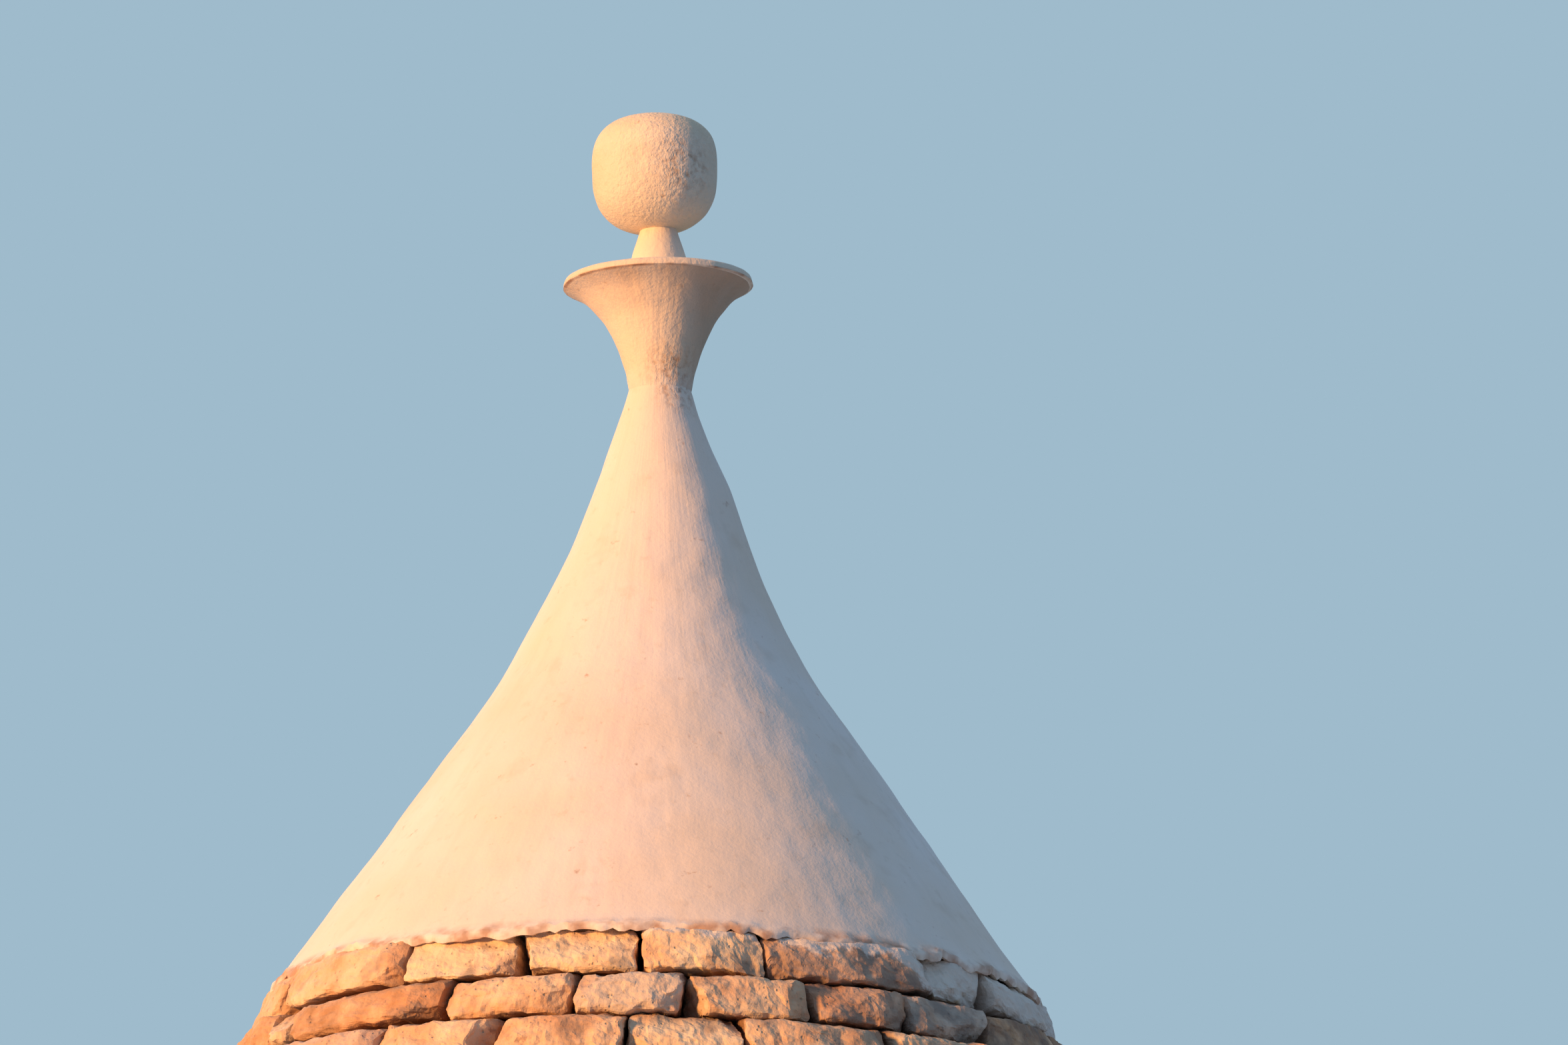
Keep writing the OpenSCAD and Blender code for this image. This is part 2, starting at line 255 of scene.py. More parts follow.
    # Rough skin: waves about 90, 35 and 13 mm long
    place = add(tree, VECTOR, (here, shift), operation="ADD")
    rough = add(tree, NOISE, (place, 1 / 0.090, 2.0, 0.7, 2.6), take="Color")
    rough = add(tree, VECTOR, (rough, (0.5, 0.5, 0.5)), operation="SUBTRACT")
    rough = add(tree, VECTOR, (rough, given["Roughness"]), operation="MULTIPLY")
    blocks = add(tree, "GeometryNodeSetPosition",
                 {"Geometry": loop_out.outputs["Geometry"], "Offset": rough})

    # How far a point is inside the joints, for the painted shade there
    behind = add(tree, VECTOR, (half, here), operation="SUBTRACT")
    behind = add(tree, "ShaderNodeSeparateXYZ", (behind,), take="Y")
    behind = add(tree, RANGE, (behind, 0.014, 0.054))
    blocks = add(tree, "GeometryNodeStoreNamedAttribute",
                 {"Geometry": blocks, "Name": "painted_joint_shade", "Value": behind}, data_type="FLOAT", domain="POINT")

    # Each stone bends a little to its ring and goes to its place there, between two slanting joints,
    # and the whole ring falls toward +X by its slope
    share = add(tree, VECTOR, (here, size), operation="DIVIDE")
    share = add(tree, VECTOR, (share, (0.5, 0.5, 0.5)), operation="ADD")
    along, out, up = add(tree, "ShaderNodeSeparateXYZ", (share,), take=None).outputs
    x, _, z = add(tree, "ShaderNodeSeparateXYZ", (here,), take=None).outputs
    face = add(tree, MIX, (up, radius, given["Face Radius High"]), clamp_factor=False)
    reach = add(tree, MIX, (out, given["Tail Radius"], face), clamp_factor=False)
    reach = add(tree, NUMBER, (push, given["Push"], reach), operation="MULTIPLY_ADD")
    reach = add(tree, NUMBER, (x, skew, reach), operation="MULTIPLY_ADD")
    square = add(tree, NUMBER, (x, x), operation="MULTIPLY")
    flat = add(tree, NUMBER, (0.15, radius), operation="DIVIDE")
    reach = add(tree, NUMBER, (square, flat, reach), operation="MULTIPLY_ADD")
    fall = add(tree, RANGE, (out, 0.72, 1.0, 0.0, given["Ledge Fall"]))
    fall = add(tree, NUMBER, (fall, up), operation="MULTIPLY")
    level = add(tree, NUMBER, (thick, 0.5, z), operation="MULTIPLY_ADD")
    level = add(tree, NUMBER, (level, given["Bed Height"]), operation="ADD")
    tilt = add(tree, NUMBER, (tilt, given["Tilt"]), operation="MULTIPLY")
    level = add(tree, NUMBER, (x, tilt, level), operation="MULTIPLY_ADD")
    level = add(tree, NUMBER, (level, fall), operation="SUBTRACT")
    lean = add(tree, MIX, (along, end_lean, start_lean), clamp_factor=False)
    slid = add(tree, NUMBER, (z, lean, x), operation="MULTIPLY_ADD")
    middle = add(tree, MIX, (0.5, start, end))
    side = add(tree, NUMBER, (depth,), operation="SIGN")
    round_it = add(tree, NUMBER, (side, radius), operation="DIVIDE")
    round_it = add(tree, NUMBER, (slid, round_it), operation="MULTIPLY")
    angle = add(tree, NUMBER, (middle, round_it), operation="SUBTRACT")
    placed = add(tree, "ShaderNodeCombineXYZ", (reach, 0.0, level))
    placed = add(tree, "ShaderNodeVectorRotate", {"Vector": placed, "Angle": angle}, rotation_type="Z_AXIS")
    drop = add(tree, "ShaderNodeSeparateXYZ", (placed,), take="X")
    drop = add(tree, NUMBER, (drop, given["Slope"]), operation="MULTIPLY")
    drop = add(tree, "ShaderNodeCombineXYZ", (0.0, 0.0, drop))
    placed = add(tree, VECTOR, (placed, drop), operation="SUBTRACT")
    ring = add(tree, "GeometryNodeSetPosition", {"Geometry": blocks, "Position": placed})

    # Sharp only where a chip broke off
    bend = add(tree, "GeometryNodeInputMeshEdgeAngle")
    gentle = add(tree, "FunctionNodeCompare", (bend, math.radians(38)),
                 operation="LESS_THAN", data_type="FLOAT")
    ring = add(tree, "GeometryNodeSetShadeSmooth",
               {"Geometry": ring, "Shade Smooth": gentle}, domain="EDGE")
    ring = add(tree, "GeometryNodeRealizeInstances", (ring,))
    ring = add(tree, "GeometryNodeSetMaterial", {"Geometry": ring, "Material": given["Material"]})
    add(tree, "NodeGroupOutput", (ring,), take=None)
    return tree


ring_of_stones = stone_tree()
SHORTEST, LONGEST = 0.72, 1.35


def joints(radius, length, seed, known=()):
    """Angles of a ring's joints, in degrees from +X: those known, and the rest about one length apart."""
    pick = random.Random(seed)
    cuts = sorted(known) or [pick.uniform(0, 360)]
    left = cuts[0] + 360 - cuts[-1]
    count = max(1, round(math.radians(left) * radius / length))
    shares = [pick.uniform(SHORTEST, LONGEST) for _ in range(count)]
    for share in shares[:-1]:
        cuts.append(cuts[-1] + left * share / sum(shares))
    return cuts


def lay_ring(name, cuts, material, seed, slant=0.20, tones_and_shade=(), taller=0.0, **sizes):
    """Makes one ring of stones as a plain mesh, which stands for the CAD node of that name.

    The joints lean by up to slant to either side. The first stones take the tones given, from 0 for
    dark to 1 for pale, some dark ones as painted shade, and taller is what the stones have more than the
    node.
    """
    pick = random.Random(seed)
    leans = [pick.uniform(-slant, slant) for _ in cuts]
    tones_and_shade = list(tones_and_shade) + [pick.random() for _ in cuts[len(tones_and_shade):]]
    points = bpy.data.meshes.new(name)
    points.from_pydata([(0, 0, 0)] * len(cuts), [], [])
    for key, values in (("start", np.radians(cuts)), ("end", np.radians(cuts[1:] + [cuts[0] + 360])),
                        ("start_lean", leans), ("end_lean", leans[1:] + leans[:1]), ("shade", tones_and_shade)):
        points.attributes.new(key, "FLOAT", "POINT").data.foreach_set("value", list(values))
    stones = bpy.data.objects.new(name + "_stones", points)
    bpy.context.scene.collection.objects.link(stones)
    modifier = stones.modifiers.new("ring", "NODES")
    modifier.node_group = ring_of_stones
    low, high = (corner[2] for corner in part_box(name))
    given = {key.replace("_", " ").title(): value for key, value in sizes.items()}
    given.update({"Bed Height": low, "Thickness": high - low + taller, "Material": material, "Seed": seed})
    for item in ring_of_stones.interface.items_tree:
        if item.in_out == "INPUT" and item.name in given:
            modifier[item.identifier] = given[item.name]
    bpy.context.view_layer.update()
    made = bpy.data.meshes.new_from_object(stones.evaluated_get(bpy.context.evaluated_depsgraph_get()))
    stones.modifiers.remove(modifier)
    stones.data = made
    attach(stones, "root")
    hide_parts(name)


def clouded(tree, colour, place, layers):
    """Lays colours over one another in clouds.

    A layer is its hex colour, the width of a cloud in metres, the noise at which it starts and is
    full, and its most cover.
    """
    for code, width, low, high, most in layers:
        cloud = add(tree, NOISE, {"Vector": place, "Scale": 0.5 / width, "Detail": 3.0, "Roughness": 0.6})
        cover = add(tree, RANGE, (cloud, low, high, 0.0, most))
        colour = add(tree, MIX, (cover, colour, srgb(code)), data_type="RGBA")
    return colour


def relief(tree, shader, place, waves, height=0.0):
    """Bumps of a surface: each wave's width in metres, height in millimetres, and detail."""
    for width, rise, detail in waves:
        wave = add(tree, NOISE,
                   {"Vector": place, "Scale": 0.5 / width, "Detail": detail, "Roughness": 0.58})
        height = add(tree, NUMBER, (wave, rise, height), operation="MULTIPLY_ADD")
    bump = add(tree, "ShaderNodeBump", {"Height": height, "Strength": 1.0, "Distance": 0.001})
    tree.links.new(bump, shader.inputs["Normal"])


def limestone(name, pale, mid, dark, rust, grey, fleck_and_shade, limed_from=None):
    """Limestone: matt, a tone for each stone, rusty and grey clouds, dark flecks, pits, painted shade on
    the +X side and deep in the joints, and a rough skin.
    """
    material = bpy.data.materials.new(name)
    material.use_nodes = True
    tree = material.node_tree
    shader = tree.nodes["Principled BSDF"]
    at = add(tree, "ShaderNodeTexCoord", take="Object")
    shade = add(tree, "ShaderNodeAttribute", take="Fac", attribute_name="shade")
    place = add(tree, VECTOR, (shade, (9, 0, 9), at), operation="MULTIPLY_ADD")

    # Mottled in the stone's own tone, and some stones greyer
    mottle = add(tree, NOISE, {"Vector": place, "Scale": 0.5 / 0.040, "Detail": 5.0, "Roughness": 0.65})
    tone = add(tree, NUMBER, (shade, 0.5, mottle), operation="MULTIPLY_ADD")
    colour = srgb(dark)
    for code, low, high in ((mid, 0.36, 0.66), (pale, 0.62, 0.98)):
        cover = add(tree, RANGE, (tone, low, high))
        colour = add(tree, MIX, (cover, colour, srgb(code)), data_type="RGBA")
    greyer = add(tree, NUMBER, (shade, 7.31), operation="MULTIPLY")
    greyer = add(tree, NUMBER, (greyer,), operation="FRACT")
    greyer = add(tree, RANGE, (greyer, 0.60, 0.85, 0.0, 0.6))
    colour = add(tree, MIX, (greyer, colour, srgb(grey)), data_type="RGBA")
    colour = clouded(tree, colour, place, (
        (rust, 0.060, 0.50, 0.72, 0.60), (fleck_and_shade, 0.045, 0.56, 0.70, 0.55),
        (fleck_and_shade, 0.014, 0.64, 0.72, 0.60)))

    # Painted shade: darker clouds on the +X side, which the low key lamp doesn't reach
    east = add(tree, "ShaderNodeSeparateXYZ", (at,), take="X")
    painted_shade = add(tree, RANGE, (east, 0.05, 0.50, 0.0, 0.75))
    cloud = add(tree, NOISE, {"Vector": place, "Scale": 0.5 / 0.035, "Detail": 4.0, "Roughness": 0.6})
    cloud = add(tree, RANGE, (cloud, 0.36, 0.60))
    cover = add(tree, NUMBER, (painted_shade, cloud), operation="MULTIPLY")
    colour = add(tree, MIX, (cover, colour, srgb(fleck_and_shade)), data_type="RGBA")

    # Patches of pits, which lie about 12 mm apart
    pits = add(tree, "ShaderNodeTexVoronoi", {"Vector": place, "Scale": 85.0})
    pits = add(tree, RANGE, (pits, 0.24, 0.06))
    few = add(tree, NOISE, {"Vector": place, "Scale": 0.5 / 0.025})
    few = add(tree, RANGE, (few, 0.50, 0.60))
    pits = add(tree, NUMBER, (pits, few), operation="MULTIPLY")
    cover = add(tree, NUMBER, (pits, 0.4), operation="MULTIPLY")
    colour = add(tree, MIX, (cover, colour, srgb(fleck_and_shade)), data_type="RGBA")

    if limed_from:
        # Splashes of the coat above, down to a ragged line that is lower on the +X side
        line = add(tree, VECTOR, (at, (0.060, 0.0, 1.0)), operation="DOT_PRODUCT")
        lower = add(tree, RANGE, (east, 0.42, 0.48, 0.0, 0.05))
        line = add(tree, NUMBER, (line, lower), operation="ADD")
        cloud = add(tree, NOISE, {"Vector": place, "Scale": 0.5 / 0.030, "Detail": 4.0, "Roughness": 0.65})
        line = add(tree, NUMBER, (cloud, 0.11, line), operation="MULTIPLY_ADD")
        cover = add(tree, RANGE, (line, limed_from + 0.055, limed_from + 0.065, 0.0, 0.88))
        colour = add(tree, MIX, (cover, colour, srgb("#E6D8C6")), data_type="RGBA")

    # Painted shade deep in the joints: dark brown, darker the further a point lies behind the face
    painted_joint_shade = add(tree, "ShaderNodeAttribute", take="Fac", attribute_name="painted_joint_shade")
    cover = add(tree, RANGE, (painted_joint_shade, 0.0, 1.0, 0.0, 0.75))
    colour = add(tree, MIX, (cover, colour, srgb("#6E4632")), data_type="RGBA")
    tree.links.new(colour, shader.inputs["Base Color"])
    shader.inputs["Roughness"].default_value = 0.92
    shader.inputs["Specular IOR Level"].default_value = 0.3
    sunk = add(tree, NUMBER, (pits, -2.0), operation="MULTIPLY")
    relief(tree, shader, place, ((0.032, 15.0, 3.0), (0.006, 3.6, 4.0)), sunk)
    return material


SPRINGING_R, VAULT_FOOT_R = 1.858, 1.321
# Hewn limestone: dull and buff, in big plain faces
bearing_stone = limestone("limestone, hewn with a pick",
                          "#D6C5A6", "#C0A986", "#947F63", "#B48C5E", "#B4A892", "#6C675E")
lay_ring("springing_course", joints(SPRINGING_R, length=0.56, seed=71), bearing_stone, seed=71,
         slant=0.08, tail_radius=VAULT_FOOT_R, face_radius_low=SPRINGING_R, face_radius_high=SPRINGING_R,
         joint=0.010, edge_radius=0.012, crown=0.008, chip=0.035, roughness=0.012, push=0.006, slack=0.03,
         tilt=0.002, ledge_fall=0.0, cuts_along=18, cuts_deep=9, cuts_high=9, chips=7)

# Eaves course: thin wide slabs that stand out past the wall and the first slab
# course, so that the rain drips clear. They are split along the bed of the rock
# and held down by the courses above.
EAVES_R, EAVES_DEPTH, EAVES_BATTER = 1.993, 0.360, 0.014
SLAB_TINTS = "#F6DCB4", "#E4B68C", "#A27852", "#D28C54", "#C6B0A2", "#746860"
# Weathered limestone: dry and rough, each slab somewhere between cream, rust and grey
slab_stone = limestone("split limestone, weathered", *SLAB_TINTS)
lay_ring("eaves_course", joints(EAVES_R, length=0.34, seed=72), slab_stone, seed=72, slant=0.15,
         tail_radius=EAVES_R - EAVES_DEPTH, face_radius_low=EAVES_R,
         face_radius_high=EAVES_R - EAVES_BATTER,
         joint=0.009, edge_radius=0.009, crown=0.008, chip=0.030, roughness=0.022, push=0.010, slack=0.08,
         tilt=0.012, ledge_fall=0.010, cuts_along=12, cuts_deep=6, cuts_high=5, chips=7)

# Slab courses: rings of split limestone, 130 to 300 mm long and about 80 mm
# thick, laid dry and by eye, each set back from the one below. Their knapped
# and chipped faces lean back, and the upper courses fall a little toward +X.
COURSES, COURSES_BELOW_VIEW = 23, 19
SLAB_LENGTH, SLAB_DEPTH, SLAB_BATTER = 0.215, 0.250, 0.027
TOP_FOOT_R, SET_BACK, MORE_LOW_DOWN = 0.693, 0.054, 0.002
TOP_BATTER, TOP_TALLER, TOP_SLOPE = 0.030, 0.007, 0.016
FOOT_R = [TOP_FOOT_R]
for k in range(COURSES - 1, 0, -1):
    FOOT_R.insert(0, FOOT_R[0] + SET_BACK + MORE_LOW_DOWN * k / COURSES)
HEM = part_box("lime_cone")[0][2]
# The same stone where the brush has smeared it: chalky white on top, bare below
hem_stone = limestone("split limestone, smeared with limewash", *SLAB_TINTS, limed_from=HEM - 0.014)

# Joints that the photograph shows in the top three courses, in degrees from +X
SEEN_JOINTS = {
    23: (-178.0, -155.6, -127.8, -109.8, -91.8, -73.7, -46.4, -32.6, -12.0),
    22: (-153.7, -145.9, -119.3, -100.4, -85.4, -68.3, -53.7, -38.8),
    21: (-126.4, -109.6, -93.2, -78.2, -59.0),
}
# How pale their stones are, from left to right. The dark ones on the +X side are partly painted shade, of
# stones turned from the key lamp.
SEEN_TONES_AND_SHADE = {
    23: (0.42, 0.55, 0.90, 0.90, 0.72, 0.10, 0.85, 0.85),
    22: (0.70, 0.14, 0.48, 0.93, 0.56, 0.10, 0.95, 0.20),
    21: (0.60, 0.44, 0.84, 0.44),
}
for i in range(1, COURSES + 1):
    foot = FOOT_R[i - 1]
    near, top = i > COURSES_BELOW_VIEW, i == COURSES
    lay_ring(f"slab_course_{i:02d}", joints(foot, SLAB_LENGTH, seed=i, known=SEEN_JOINTS.get(i, ())),
             hem_stone if top else slab_stone, seed=200 + i, tones_and_shade=SEEN_TONES_AND_SHADE.get(i, ()),
             taller=TOP_TALLER if top else 0.0, slope=TOP_SLOPE * i / COURSES,
             tail_radius=foot - SLAB_DEPTH, face_radius_low=foot,
             face_radius_high=foot - (TOP_BATTER if top else SLAB_BATTER), joint=0.006,
             edge_radius=0.009, crown=0.006, chip=0.038, roughness=0.036, push=0.007,
             slack=0.03 if top else 0.07, tilt=0.025, ledge_fall=0.010, cuts_along=34 if near else 6,
             cuts_deep=8 if near else 3, cuts_high=17 if near else 4, chips=11 if near else 6)

# Corbelled vault: rings of roughly dressed blocks, each jutting in past the one
# below, until a single keystone slab closes the last ring. The room below sees
# its face, paler than the slabs but with the same painted shade on the +X side.
SOFFIT_R = (VAULT_FOOT_R, 1.209, 1.093, 0.973, 0.849, 0.721, 0.589, 0.453, 0.313, 0.169)
BLOCK_LENGTH, BLOCK_DEPTH, FEWEST_BLOCKS = 0.40, 0.190, 10
# Dressed limestone, indoors: paler and more even than the slabs
vault_stone = limestone("limestone, roughly dressed",
                        "#E4D8C2", "#D2C0A0", "#AC9A7C", "#C4A274", "#CBBFAB", "#857C6E")
for j in range(1, len(SOFFIT_R)):
    face_low, face_high = SOFFIT_R[j - 1:j + 1]
    way_round = 2 * math.pi * face_low
    block = way_round / max(FEWEST_BLOCKS, round(way_round / BLOCK_LENGTH))
    lay_ring(f"vault_ring_{j:02d}", joints(face_low, block, seed=80 + j), vault_stone, seed=80 + j,
             slant=0.08, tail_radius=face_low + BLOCK_DEPTH, face_radius_low=face_low,
             face_radius_high=face_high, joint=0.009, edge_radius=0.009, crown=0.006, chip=0.030,
             roughness=0.018, push=0.005, slack=0.03, tilt=0.008, ledge_fall=0.0, cuts_along=12,
             cuts_deep=5, cuts_high=8, chips=7)
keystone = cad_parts["vault_keystone"]
keystone.data.materials.clear()
keystone.data.materials.append(vault_stone)

# Filling: loose broken stone between vault and slabs, dull and dusty, and small
# stones inside the cone, which their lime mortar makes paler. Both are covered
# on all sides.
rubble = limestone("broken limestone, loose",
                   "#B9AA92", "#9C8D77", "#6E6353", "#8F6F4C", "#958B7B", "#55514A")
mortared = limestone("small stones in lime mortar",
                     "#D2C7B4", "#BBAE99", "#93866F", "#A98C68", "#B8AE9C", "#726B5F")
for node, material in (("rubble_fill", rubble), ("cone_core", mortared)):
    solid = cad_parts[node]
    solid.data.materials.clear()
    solid.data.materials.append(material)


# Limewashed cone: small stones in mortar under a lime coat, brushed on by hand
# each year. Its outline is hollow below the neck and nearly straight below the
# knee, and the coat feathers out over the top slabs.
def lathe(name, outline, sides, shift):
    """Closed mesh turned from an outline of (radius, height) that runs up on the outside.

    A radius of 0 is a pole, and an outline without poles closes on itself. Then shift moves each vertex.
    """
    turn = np.linspace(0, 2 * math.pi, sides, endpoint=False)
    verts, faces, rows = [], [], []
    for r, z in outline:
        if r < 1e-6:
            rows.append([len(verts)])
            verts.append((0.0, 0.0, z))
        else:
            rows.append(list(range(len(verts), len(verts) + sides)))
            verts.extend((r * math.cos(a), r * math.sin(a), z) for a in turn)
    pairs = list(zip(rows[:-1], rows[1:]))
    if len(rows[0]) > 1:
        pairs.append((rows[-1], rows[0]))
    for a, b in pairs:
        for k in range(sides):
            n = (k + 1) % sides
            if len(a) == 1:
                faces.append((a[0], b[n], b[k]))
            elif len(b) == 1:
                faces.append((a[k], a[n], b[0]))
            else:
                faces.append((a[k], a[n], b[n], b[k]))
    mesh = bpy.data.meshes.new(name)
    mesh.from_pydata([shift(Vector(v)) for v in verts], [], faces)
    mesh.update()
    mesh.shade_smooth()
    mesh.set_sharp_from_angle(angle=math.radians(50))
    made = bpy.data.objects.new(name, mesh)
    bpy.context.scene.collection.objects.link(made)
    return made


def curve_at(stations, x):
    """Smooth curve through (x, y) stations, whose slopes are those between the neighbours."""
    def slope(k):
        a, b = stations[max(0, k - 1)], stations[min(len(stations) - 1, k + 1)]
        return (b[1] - a[1]) / (b[0] - a[0])
    k = 0
    while k < len(stations) - 2 and x > stations[k + 1][0]:
        k += 1
    w = stations[k + 1][0] - stations[k][0]
    t = (x - stations[k][0]) / w
    return (stations[k][1] * (2 * t ** 3 - 3 * t ** 2 + 1) + slope(k) * w * (t ** 3 - 2 * t ** 2 + t)
            + stations[k + 1][1] * (3 * t ** 2 - 2 * t ** 3) + slope(k + 1) * w * (t ** 3 - t ** 2))


def limewash_paint(name, tints, waves, brush, worn=None, edge=None, dirt_and_painted_shade=None):
    """Limewash: dead matt, off-white and granular, with brush marks, faint clouds and rusty specks.

    brush is the radius at which its marks are drawn, how far they are squeezed lengthways, and their
    height in millimetres. worn is a point and how far round it the brown stone shows in pits. edge is a
    stained edge's height, its fall toward +X, the stain's reach and its most cover. The dirt and painted
    shade are the height above which the coat is tinged, those from and to which dirt grows, and the
    cover of painted shade on the +X side, which the low key lamp doesn't reach.
    """
    material = bpy.data.materials.new(name)
    material.use_nodes = True
    tree = material.node_tree
    shader = tree.nodes["Principled BSDF"]
    at = add(tree, "ShaderNodeTexCoord", take="Object")

    # Marks that run up and down, as the brush goes
    radius, squeeze, rise = brush
    around = add(tree, VECTOR, (at, (1, 1, 0)), operation="MULTIPLY")
    around = add(tree, VECTOR, (around,), operation="NORMALIZE")
    upward = add(tree, VECTOR, (at, (0, 0, squeeze)), operation="MULTIPLY")
    swept = add(tree, VECTOR, (around, (radius, radius, radius), upward), operation="MULTIPLY_ADD")

    # Off-white with warmer clouds, streaks, and specks of brown
    white, warm = tints
    lime = clouded(tree, srgb(white), at, ((warm, 0.16, 0.38, 0.68, 0.8),))
    lime = clouded(tree, lime, swept, (("#D9CBB6", 0.016, 0.52, 0.75, 0.22),))
    lime = clouded(tree, lime, at, (
        ("#C8AC8C", 0.050, 0.58, 0.76, 0.28), ("#CDB79A", 0.012, 0.60, 0.78, 0.30),
        ("#A8744C", 0.013, 0.68, 0.79, 0.60)))
    z = add(tree, "ShaderNodeSeparateXYZ", (at,), take="Z")
    if dirt_and_painted_shade:
        # A warm tinge, brown dirt streaks that thicken upward, and painted shade: darker on the +X side,
        # away from the key lamp
        foot, low, top, painted_shade_cover = dirt_and_painted_shade
        cover = add(tree, RANGE, (z, foot, foot + 0.040, 0.0, 0.30))
        lime = add(tree, MIX, (cover, lime, srgb("#ECC88C")), data_type="RGBA")
        streak = add(tree, NOISE, {"Vector": swept, "Scale": 0.5 / 0.035, "Detail": 3.0})
        streak = add(tree, RANGE, (streak, 0.30, 0.70, 0.05, 0.45))
        below = add(tree, NUMBER, (z, top), operation="LESS_THAN")
        cover = add(tree, RANGE, (z, low, top))
        cover = add(tree, NUMBER, (cover, streak), operation="MULTIPLY")
        cover = add(tree, NUMBER, (cover, below), operation="MULTIPLY")
        lime = add(tree, MIX, (cover, lime, srgb("#BE8A58")), data_type="RGBA")
        # Painted shade on the +X side
        east = add(tree, "ShaderNodeSeparateXYZ", (at,), take="X")
        cover = add(tree, RANGE, (east, 0.02, 0.08, 0.0, painted_shade_cover))
        cover = add(tree, NUMBER, (cover, below), operation="MULTIPLY")
        lime = add(tree, MIX, (cover, lime, srgb("#8A6A50")), data_type="RGBA")
    if edge:
        # Spots of stain, densest at the edge
        height, fall, reach, most = edge
        off = add(tree, VECTOR, (at, (fall, 0.0, 1.0)), operation="DOT_PRODUCT")
        off = add(tree, NUMBER, (off, height), operation="SUBTRACT")
        off = add(tree, NUMBER, (off,), operation="ABSOLUTE")
        off = add(tree, RANGE, (off, reach, reach / 3))
        spots = add(tree, NOISE, {"Vector": at, "Scale": 0.5 / 0.020, "Detail": 3.0})
        spots = add(tree, RANGE, (spots, 0.40, 0.60, 0.0, most))
        cover = add(tree, NUMBER, (off, spots), operation="MULTIPLY")
        lime = add(tree, MIX, (cover, lime, srgb("#A87350")), data_type="RGBA")
    pits = 0.0
    if worn:
        # Pits down to the brown stone, most of them at the point
        point, reach = worn
        near = add(tree, VECTOR, (at, point), operation="DISTANCE")
        near = add(tree, RANGE, (near, reach, 0.0, 0.0, 0.80))
        pits = add(tree, NOISE, {"Vector": at, "Scale": 0.5 / 0.0060, "Detail": 3.0, "Roughness": 0.6})
        pits = add(tree, RANGE, (pits, 0.44, 0.68))
        cover = add(tree, NUMBER, (pits, near), operation="MULTIPLY")
        lime = add(tree, MIX, (cover, lime, srgb("#A87246")), data_type="RGBA")
        pits = add(tree, NUMBER, (cover, -1.5), operation="MULTIPLY")
    tree.links.new(lime, shader.inputs["Base Color"])
    shader.inputs["Roughness"].default_value = 0.95
    shader.inputs["Specular IOR Level"].default_value = 0.2
    marks = add(tree, NOISE, {"Vector": swept, "Scale": 0.5 / 0.0070, "Detail": 2.0, "Roughness": 0.5})
    marks = add(tree, NUMBER, (marks, rise, pits), operation="MULTIPLY_ADD")
    relief(tree, shader, at, waves, marks)
    return material


CONE_H, COAT_T, CONE_ROWS = 1.080, 0.024, 150
# (below the neck, radius), (below the neck, lean of the axis toward +X), and the hem's lip as
# (radius, above the hem)
CONE_STATIONS = [(0.0, 0.054), (0.050, 0.069), (0.160, 0.1089), (0.300, 0.160), (0.420, 0.2170),
                 (0.520, 0.2700), (0.600, 0.3230), (0.730, 0.4146), (0.866, 0.509), (CONE_H, 0.656)]
CONE_LEAN = [(-0.30, -0.005), (0.0, 0.0054), (0.064, 0.0056), (0.150, 0.0096), (0.226, 0.0105),
             (0.284, 0.0090), (0.400, 0.0046), (0.575, 0.0022), (0.728, -0.0004), (0.850, -0.0016),
             (0.968, -0.0054), (1.10, -0.006)]
HEM_LIP = [(0.640, -0.005), (0.653, -0.015), (0.661, -0.016), (0.6635, -0.011), (0.662, -0.003)]
# How far the face runs out near the hem for each metre that it goes down
COAT_BATTER = 0.68
# The waves grow over the first 0.15 m below the neck. The hem's fall grows from 0.90 m below it, over
# 0.17 m, and the coat is ragged 0.035 m up and down from the hem.
WAVES_OVER, FALL_FROM, FALL_OVER, RAGGED_OVER = 0.15, 0.90, 0.17, 0.035
# Limewash on a smooth coat: chalky off-white, with soft streaks up and down
limewash = limewash_paint("limewash, brushed on", ("#F5E8D8", "#EFDBC2"),
                          waves=((0.045, 2.2, 2.0), (0.016, 0.9, 2.0), (0.0032, 0.6, 2.0)),
                          brush=(0.40, 0.14, 0.5), worn=((0.038, -0.045, NECK - 0.005), 0.06),
                          edge=(HEM - 0.006, TOP_SLOPE, 0.026, 0.70))

# Down inside the coat, round the lip and up the face
downs = [CONE_H * k / CONE_ROWS for k in range(CONE_ROWS + 1)]
face = [(curve_at(CONE_STATIONS, down), NECK - down) for down in downs]
outline = [(r - COAT_T, z) for r, z in face[::10]] + [(r, HEM + z) for r, z in HEM_LIP] + face[-2::-1]


